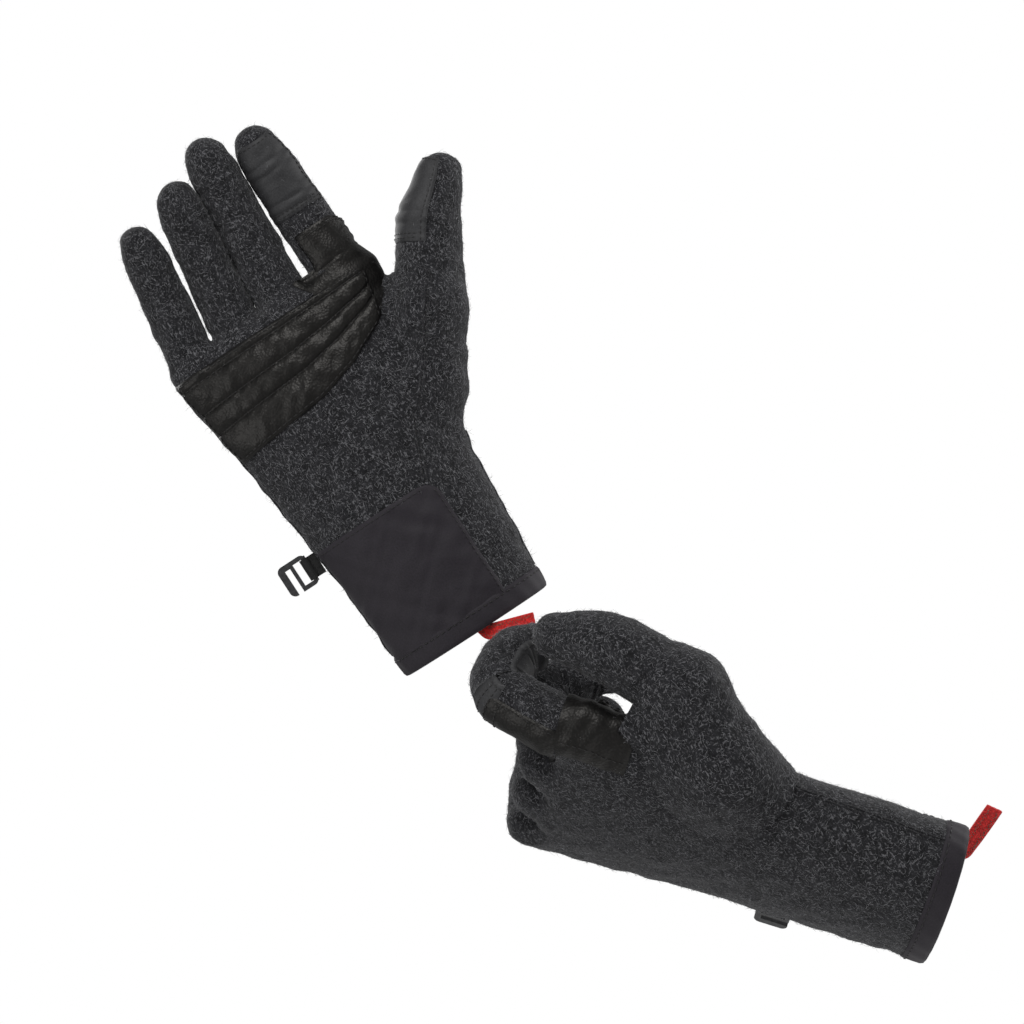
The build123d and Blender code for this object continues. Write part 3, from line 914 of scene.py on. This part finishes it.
def bend_zone(glove, tube, joint, reach):
    """Planes on both sides of one of a stall's joints."""
    s = np.array([tube.at[joint]])
    here, along = tube.centre(s)[0], tube.axes(s)[0][0]
    return glove.metres(here - along * reach), glove.metres(here + along * reach)


def wool_tube(glove, tube, name, bodies, zone, *span, **ends):
    """A stretch of a stall's wool skin, which stands for the CAD node of its last body."""
    mesh = Mesh()
    fibres(mesh, *tube_piece(mesh, tube, *span, **ends), FIBRES)
    finish_piece(mesh, glove, name + "_skin", [WOOL, FIBRE], bodies, zone, bodies[-1:])


def stall_pieces(glove, name):
    tube = glove.tubes[name]
    first, middle, last = (f"{name}_{part}" for part in ("base", "middle", "tip"))
    cut = (tube.at[1] + tube.at[2]) / 2
    knuckle, end = bend_zone(glove, tube, 1, KNUCKLE_ZONE), bend_zone(glove, tube, 2, END_ZONE)
    if name == "thumb":
        start, cut = tube.at[1] + THUMB_CUT, tube.at[2] - END_CUT
        knuckle = [glove.metres(p) for p in tube.centre(np.array([start, start + THUMB_ZONE]))]
    else:
        start = tube.at[0] + (0.5 if tube.folded else 0.58) * (tube.at[1] - tube.at[0])
        if tube.folded:
            wool_tube(glove, tube, name + "_root", (first,), None, 0, start, closed_start=True)
        else:
            zone, span = glove.root_zone(tube), (ROOT_START, start, glove.finger_skin(name), ROOT_EASE)
            wool_tube(glove, tube, name + "_root", ("hand", first), zone, *span)
    wool_tube(glove, tube, middle, (first, middle), knuckle, start, cut)
    wool_tube(glove, tube, last, (middle, last), end, cut, tube.length, closed_end=True)
    if name in PADS:
        pad_pieces(glove, name, cut, knuckle, end)


def pad_pieces(glove, name, cut, knuckle, end):
    """The touch pad of a stall, cut in two where it crosses two joints."""
    tube = glove.tubes[name]
    before, short, wide = PADS[name]
    stop = tube.length - short
    if name == "index":
        start = tube.at[1] - before
        spans = ((start, cut, "middle"), (cut, stop, "tip"))
    else:
        start = tube.at[2] - before
        spans = ((start, stop, "tip"),)
    thread = {"length": 1.9, "gap": 0.8, "radius": 0.2}
    for s0, s1, piece in spans:
        rows = max(int((s1 - s0) / 0.8), 8)
        s = np.linspace(s0, s1, rows)
        narrow = 1 - 0.22 * np.clip((s - (tube.length - 16)) / 12, 0, 1) ** 2
        angle = np.linspace(*wide, 36)[None, :] * narrow[:, None] * 0.98
        s = s[:, None] + 0 * angle
        points = tube.surface(s, angle)
        normals = outward(tube, points, s)
        u = np.linspace(0, 1, 36)[None, :] + 0 * s
        v = (s - start) / (stop - start)
        mesh = Mesh()
        top = patch(mesh, points, normals, 0.35 + 0.75 * edge_fall(u, 0.1) * edge_fall(v, 0.06))
        for e in (0.08, 0.92):
            sew(mesh, top, normals, u=e, count=60, **thread)
        if s0 == start:
            for e in (1.6, 3.6):
                sew(mesh, top, normals, 4, v=e / (s1 - s0), count=50, **thread)
        if piece == "tip":
            sew(mesh, top, normals, 4, v=1 - 1.6 / (s1 - s0), count=50, **thread)
            bodies, zone, node = ("middle", "tip"), end, (name + "_touch_pad",)
        else:
            bodies, zone, node = ("base", "middle"), knuckle, ()
        bodies = [f"{name}_{body}" for body in bodies]
        finish_piece(mesh, glove, f"{name}_pad_{piece}", [PAD, THREAD], bodies, zone, node)


def palm_leather(glove):
    """The leather palm: padded channels between quilting lines."""
    v, x = np.linspace(0, 1, 74)[:, None], np.linspace(-60, 55, 150)[None, :]
    bottom = np.interp(x, *LEATHER_BOTTOM)
    z = bottom + (LEATHER_TOP - bottom) * v
    x = x + 0 * z
    little_x = section(z, 1) + 0.4
    t = (x - x[:, :1]) / (x[:, -1:] - x[:, :1])
    x = little_x + (np.interp(z, *LEATHER_SIDE) - little_x) * t
    bottom = np.interp(x, *LEATHER_BOTTOM)
    z = bottom + (LEATHER_TOP - bottom) * v
    points, normals = on_palm(glove.cover if glove.hand == "right" else glove.hand_skin, x, z)
    puff = np.zeros_like(v)
    lines = (0, *QUILT, 0.9, 1)
    for low, high in zip(lines, lines[1:]):
        part = (v - low) / (high - low)
        size = 2.1 if high < 0.95 else 1.0
        crown = size * np.clip(1 - np.abs(2 * part - 1) ** 2.6, 0, 1) ** 0.62
        puff = np.where((v >= low) & (v <= high), crown, puff)
    coarse, fine = np.sin(x * 0.31 + 1.8 * np.sin(z * 0.21 + 1)), np.sin(x * 0.83 - z * 0.4 + np.sin(x * 0.2))
    wrinkle = 0.5 * coarse + 0.3 * fine
    height = 0.6 + (puff * (1 + 0.16 * wrinkle) + wrinkle * 0.1) * edge_fall(t, 0.05)
    mesh = Mesh()
    top = patch(mesh, points, normals, height, sink=0.8)
    for e in QUILT:
        sew(mesh, top, normals, 5, v=e, count=220, length=2.4, gap=0.9)
    for e in (0.90, 0.965, 0.035):
        sew(mesh, top, normals, 4, v=e, count=220, length=2.4, gap=0.9)
    for e in (0.02, 0.98):
        sew(mesh, top, normals, 3, u=e, count=80, length=2.2, gap=0.9)
    nodes = ("leather_palm", "palm_padding")
    finish_piece(mesh, glove, "palm_leather", [LEATHER, THREAD], stands_for=nodes)


def index_patch(glove):
    """The leather patch round the index finger's base."""
    tube = glove.tubes["index"]
    s0, s1 = ROOT_START - 0.5, tube.at[0] + PATCH_LENGTH[glove.hand]
    s = np.linspace(s0, s1, 26)[:, None]
    u = np.linspace(0, 1, 48)[None, :]
    angle = (-0.75 + 2.9 * u) + 0 * s
    top_s = s1 - (s1 - s0) * PATCH_SLOPE[glove.hand] * np.clip((angle - 0.9) / 1.2, 0, 1)
    along = s0 + (top_s - s0) * (s - s0) / (s1 - s0)
    points = tube.surface(along, angle, glove.finger_skin("index"), ROOT_EASE)
    normals = outward(tube, points, along)
    v = (s - s0) / (s1 - s0) + 0 * angle
    crumple = 0.25 * np.sin(v * 24 + 2 * np.sin(angle * 2.5)) * np.clip(angle - 0.6, 0, 1)
    mesh = Mesh()
    height = 0.5 + (0.8 + crumple) * edge_fall(u + 0 * s, 0.07) * edge_fall(v, 0.12)
    top = patch(mesh, points, normals, height)
    thread = {"length": 2.0, "gap": 0.8, "radius": 0.22}
    for e in (0.86, 0.95):
        sew(mesh, top, normals, 4, v=e, count=90, **thread)
    sew(mesh, top, normals, 3, u=0.04, count=60, **thread)
    finish_piece(mesh, glove, "index_patch", [LEATHER, THREAD], ("hand", "index_base"),
                 glove.root_zone(tube), ("index_leather_patch",))


def index_strip(glove):
    """The leather strip from the index patch down the thumb side to the crotch."""
    v, u = steps_between(40, 30)
    z = (153 + 34 * v + 0 * u).ravel()
    turn = (np.radians(58 + 52 * u) + 0 * v).ravel()
    cx, _, _ = hand_shape(z)
    origin = np.stack([cx, 0 * cx, z], 1)
    ray = np.stack([np.sin(turn), -np.cos(turn), 0 * cx], 1)
    points, normals = draped(glove.hand_skin, origin, ray, 4, (40, 30))
    crumple = 0.22 * np.sin(v * 26 + 2.5 * np.sin(u * 4))
    fall = edge_fall(u + 0 * v, 0.15) * np.clip(edge_fall(v * 0.5 + 0 * u, 0.06), 0, 1)
    mesh = Mesh()
    top = patch(mesh, points, normals, 0.45 + (0.75 + crumple) * fall)
    for e in (0.1, 0.9):
        sew(mesh, top, normals, 3, u=e, count=70, length=2.0, gap=0.8, radius=0.22)
    finish_piece(mesh, glove, "index_strip", [LEATHER, THREAD])


def polyline(points, count):
    points = np.array(points, float)
    along = ways(points)
    return at_way(np.linspace(0, along[-1], count), along, points)


def seam_piece(glove, name, line, field, bodies=("hand",), zone=None):
    """A rolled seam allowance along a line of points, pressed on a field's surface."""
    base = settle(field, line, 6)
    for _ in range(3):
        base[1:-1] = (base[:-2] + 2 * base[1:-1] + base[2:]) / 4
    base = settle(field, base, 3)
    normal = gradient(field, base)
    base = base + normal * folds(base)[:, None]
    side = np.cross(unit(np.gradient(base, axis=0)), normal)
    w = np.linspace(-1, 1, SEAM_POINTS)
    points = base[:, None] + side[:, None] * (w * SEAM_HALF)[None, :, None]
    normals = np.repeat(normal[:, None], SEAM_POINTS, axis=1)
    height = 0.05 + 0.62 * np.clip(1 - (np.abs(w) - 0.5) ** 2 * 4, 0, 1) - 0.3 * np.exp(-((w / 0.2) ** 2))
    mesh = Mesh()
    top = patch(mesh, points, normals, np.repeat(height[None], len(base), axis=0))
    middle = SEAM_POINTS // 2
    stitches(mesh, top[:, middle], normals[:, middle], length=2.2, gap=1.0, radius=0.2, lift=0.05)
    corners = [i * SEAM_POINTS + j for i in range(len(base) - 1) for j in range(SEAM_POINTS - 1)]
    quads = [(c, c + 1, c + 1 + SEAM_POINTS, c + SEAM_POINTS) for c in corners]
    if turned(top, normals):
        quads = [q[::-1] for q in quads]
    fibres(mesh, top.reshape(-1, 3), quads, FIBRES)
    finish_piece(mesh, glove, name, [WOOL, THREAD], bodies, zone)


def seams(glove):
    """The raised seams of the thumb gusset and of both sides of the hand."""
    tube = glove.tubes["thumb"]
    start = np.array([tube.at[1] + THUMB_CUT + 0.5])
    into_thumb = tube.surface(start, np.array([THUMB_SEAMS[0]]))[0]
    seam_piece(glove, "palm_seam", polyline([(20, -30, 74), (27, -30, 89), FORK], 46), glove.hand_skin)
    halfway = (FORK + into_thumb) / 2 + np.array([0, -6, 0])
    line = polyline([FORK, halfway, into_thumb], 60)
    seam_piece(glove, "thumb_seam", line, glove.cover, ("hand", "thumb_base"), thumb_zone(glove))
    for edge, name, top, count in ((-1, "little_side_seam", 176, 130), (1, "thumb_side_seam", 84, 60)):
        heights = np.linspace(12, top, count)
        cx, a, _ = hand_shape(heights)
        seam_piece(glove, name, np.stack([cx + edge * a, 0 * heights, heights], 1), glove.hand_skin)


def wrist_softshell(glove):
    """The stretch panel on the palm side of the wrist, with one rounded corner."""
    v, u = steps_between(70, 90)
    z = PANEL["bottom"] + (PANEL["top"] - PANEL["bottom"]) * v + 0 * u
    rise = ((z - (PANEL["top"] - PANEL["corner"])) / PANEL["corner"]).clip(0, 1)
    side = PANEL["side"] - PANEL["corner"] * (1 - np.sqrt(np.clip(1 - rise**2, 0, 1)))
    little_x = section(z, 1) + 0.5
    points, normals = on_palm(glove.hand_skin, little_x + (side - little_x) * u, z)
    fall = np.clip(edge_fall(0.5 + (v - 0.5).clip(0, 1) + 0 * u, 0.05), 0, 1)
    mesh = Mesh()
    top = patch(mesh, points, normals, 0.25 + 0.65 * edge_fall(u + 0 * z, 0.05) * fall)
    thread = {"length": 2.2, "gap": 0.8, "radius": 0.2}
    sew(mesh, top, normals, 0, 3, u=0.975, count=80, **thread)
    sew(mesh, top, normals, 3, v=0.97, count=90, **thread)
    nodes = ("wrist_panel",)
    finish_piece(mesh, glove, "wrist_softshell", [SOFTSHELL, THREAD], stands_for=nodes)


def hem_band(glove):
    """The folded hem round the cuff's opening."""
    turns = np.linspace(0, 2 * math.pi, 120, endpoint=False)
    profile = []
    for (o0, z0), (o1, z1) in zip(HEM, HEM[1:]):
        profile += [(o0 + (o1 - o0) * k / 3, z0 + (z1 - z0) * k / 3) for k in range(3)]
    profile.append(HEM[-1])
    grid = np.zeros((len(profile), len(turns), 3))
    for i, (out, height) in enumerate(profile):
        cx, a, b = hand_shape(np.full(len(turns), height))
        ripple = 0.18 * np.sin(turns * 23 + height * 0.3) + 0.12 * np.sin(turns * 9 + 1)
        grid[i, :, 0] = cx + (a + out + ripple) * np.cos(turns)
        grid[i, :, 1] = (b + out + ripple) * np.sin(turns)
        grid[i, :, 2] = height
    cx, a, b = hand_shape(np.full(len(turns), 5.0))
    core = np.stack([cx + (a - 0.9) * np.cos(turns), (b - 0.9) * np.sin(turns), np.zeros(len(turns))], 1)
    under = np.repeat(core[None], len(profile), axis=0)
    under[:, :, 2] = np.clip(grid[:, :, 2], 1.4, 10.2)
    verts, faces, _ = sheet(grid, grid * 0.25 + under * 0.75, ring=True)
    mesh = Mesh()
    mesh.add(verts, [f[::-1] for f in faces])
    line = np.concatenate([grid[-6], grid[-6][:1]])
    out_normals = unit((line - np.array([-0.5, 0, 0])) * np.array([1, 2.2, 0]))
    stitches(mesh, line, out_normals, length=2.4, gap=1.0, radius=0.24)
    finish_piece(mesh, glove, "hem_band", [SOFTSHELL, THREAD], stands_for=("cuff_hem",))


def loop_ribbon(glove):
    """The red pull loop, with two rows of zigzag thread on each face."""
    count, cols = 46, 17
    t = np.linspace(0, 3, count)
    path, across = (at_way(t, range(4), values) for values in (LOOP, LOOP_ACROSS))
    for _ in range(6):
        path[1:-1] = (path[:-2] + path[1:-1] * 2 + path[2:]) / 4
    across = unit(across)
    along = unit(np.gradient(path, axis=0))
    across = unit(across - along * np.sum(across * along, axis=1, keepdims=True))
    w = np.linspace(-1, 1, cols)
    points = path[:, None] + across[:, None] * (w * LOOP_HALF)[None, :, None]
    normals = np.repeat(unit(np.cross(along, across))[:, None], cols, axis=1)
    wave = 0.15 * np.sin(np.linspace(0, 9, count))[:, None] * w[None, :]
    points = points + normals * wave[..., None]
    height = (0.75 + 0.12 * np.cos(w * math.pi * 3)[None, :] + 0 * wave)[..., None]
    mesh = Mesh()
    top, under = points + normals * height, points - normals * height
    mesh.add(*sheet(top, under)[:2])
    for face_points, sign in ((top, 1), (under, -1)):
        for row in (-0.55, 0.55):
            k = np.arange(2, count - 1)
            j = np.round(8 + row * 8 + np.where(k % 2, 1.2, -1.2)).astype(int)
            stitches(mesh, face_points[k, j], normals[k, j] * sign, length=0.8, gap=0.7, radius=0.16)
    nodes = ("pull_loop",)
    finish_piece(mesh, glove, "loop_ribbon", [RED, TAB_THREAD], ("loop",), stands_for=nodes)


for hand in ("right", "left"):
    glove = Glove(hand)
    hand_skin_piece(glove)
    thumb_root_piece(glove)
    for name in (*FINGERS, "thumb"):
        stall_pieces(glove, name)
    for make in (palm_leather, index_patch, index_strip, seams, wrist_softshell, hem_band, loop_ribbon):
        make(glove)
    for node, made in CARRIED.items():
        data = frame["nodes"][glove.name(node)].data
        data.materials.clear()
        data.materials.append(made)


# ---- stage ----
FLOOR_DROP = 0.21  # the gloves are held up in the air
FLOOR_RADIUS = 0.5
CAMERA_WAY = 1.5
CAMERA_WIDTH = 0.492
CAMERA_ROLL = 33
CAMERA_AIM = (0.0256, 0, 0.055)
AIM = (0.02, 0, 0.05)
LIGHTS = {"key": ((0.35, -0.9, 0.95), 0.6, 8), "fill": ((-0.95, -0.75, 0.3), 0.8, 4),
          "rim": ((-0.3, 0.9, 0.7), 0.8, 8), "side": ((0.9, 0.2, -0.05), 0.7, 4)}


def area_light(name, place, size, power):
    data = bpy.data.lights.new(name, "AREA")
    data.size = size
    data.energy = power
    obj = bpy.data.objects.new(name, data)
    bpy.context.scene.collection.objects.link(obj)
    obj.location = place
    obj.rotation_euler = (Vector(AIM) - Vector(place)).to_track_quat("-Z", "Y").to_euler()


def studio_world():
    """A white background that lights the gloves more softly than it shows."""
    world = bpy.data.worlds.new("studio")
    bpy.context.scene.world = world
    world.use_nodes = True
    nodes, links = world.node_tree.nodes, world.node_tree.links
    back = nodes["Background"]
    back.inputs["Color"].default_value = (1, 1, 1, 1)
    path = nodes.new("ShaderNodeLightPath")
    seen = nodes.new("ShaderNodeMapRange")
    seen.inputs["To Min"].default_value = 0.3
    seen.inputs["To Max"].default_value = 1.0
    links.new(path.outputs["Is Camera Ray"], seen.inputs["Value"])
    links.new(seen.outputs["Result"], back.inputs["Strength"])


def stage():
    low = min(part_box(n)[0][2] for n in frame["nodes"])
    place = (0.03, -0.03, low - FLOOR_DROP)
    bpy.ops.mesh.primitive_circle_add(vertices=96, radius=FLOOR_RADIUS, fill_type="NGON", location=place)
    floor = bpy.context.object
    floor.name = "floor"
    floor.data.materials.append(plain("floor_paint", (0.8, 0.8, 0.8), 0.9, 40, 0.02, 0.0001, 0.01))
    for name, light in LIGHTS.items():
        area_light(name, *light)
    studio_world()
    scene = bpy.context.scene
    scene.view_settings.view_transform = "Standard"
    camera = bpy.data.objects.new("camera", bpy.data.cameras.new("camera"))
    scene.collection.objects.link(camera)
    roll = math.radians(CAMERA_ROLL)
    right = Vector((math.cos(roll), 0, -math.sin(roll)))
    up = Vector((math.sin(roll), 0, math.cos(roll)))
    centre = Vector(CAMERA_AIM) + right * 0.025 - up * 0.003
    turn = Matrix([[right[i], up[i], (0, -1, 0)[i]] for i in range(3)]).to_4x4()
    camera.matrix_world = Matrix.Translation(centre + Vector((0, -CAMERA_WAY, 0))) @ turn
    camera.data.sensor_fit = "HORIZONTAL"
    camera.data.angle = 2 * math.atan(CAMERA_WIDTH / 2 / CAMERA_WAY)
    scene.camera = camera


stage()
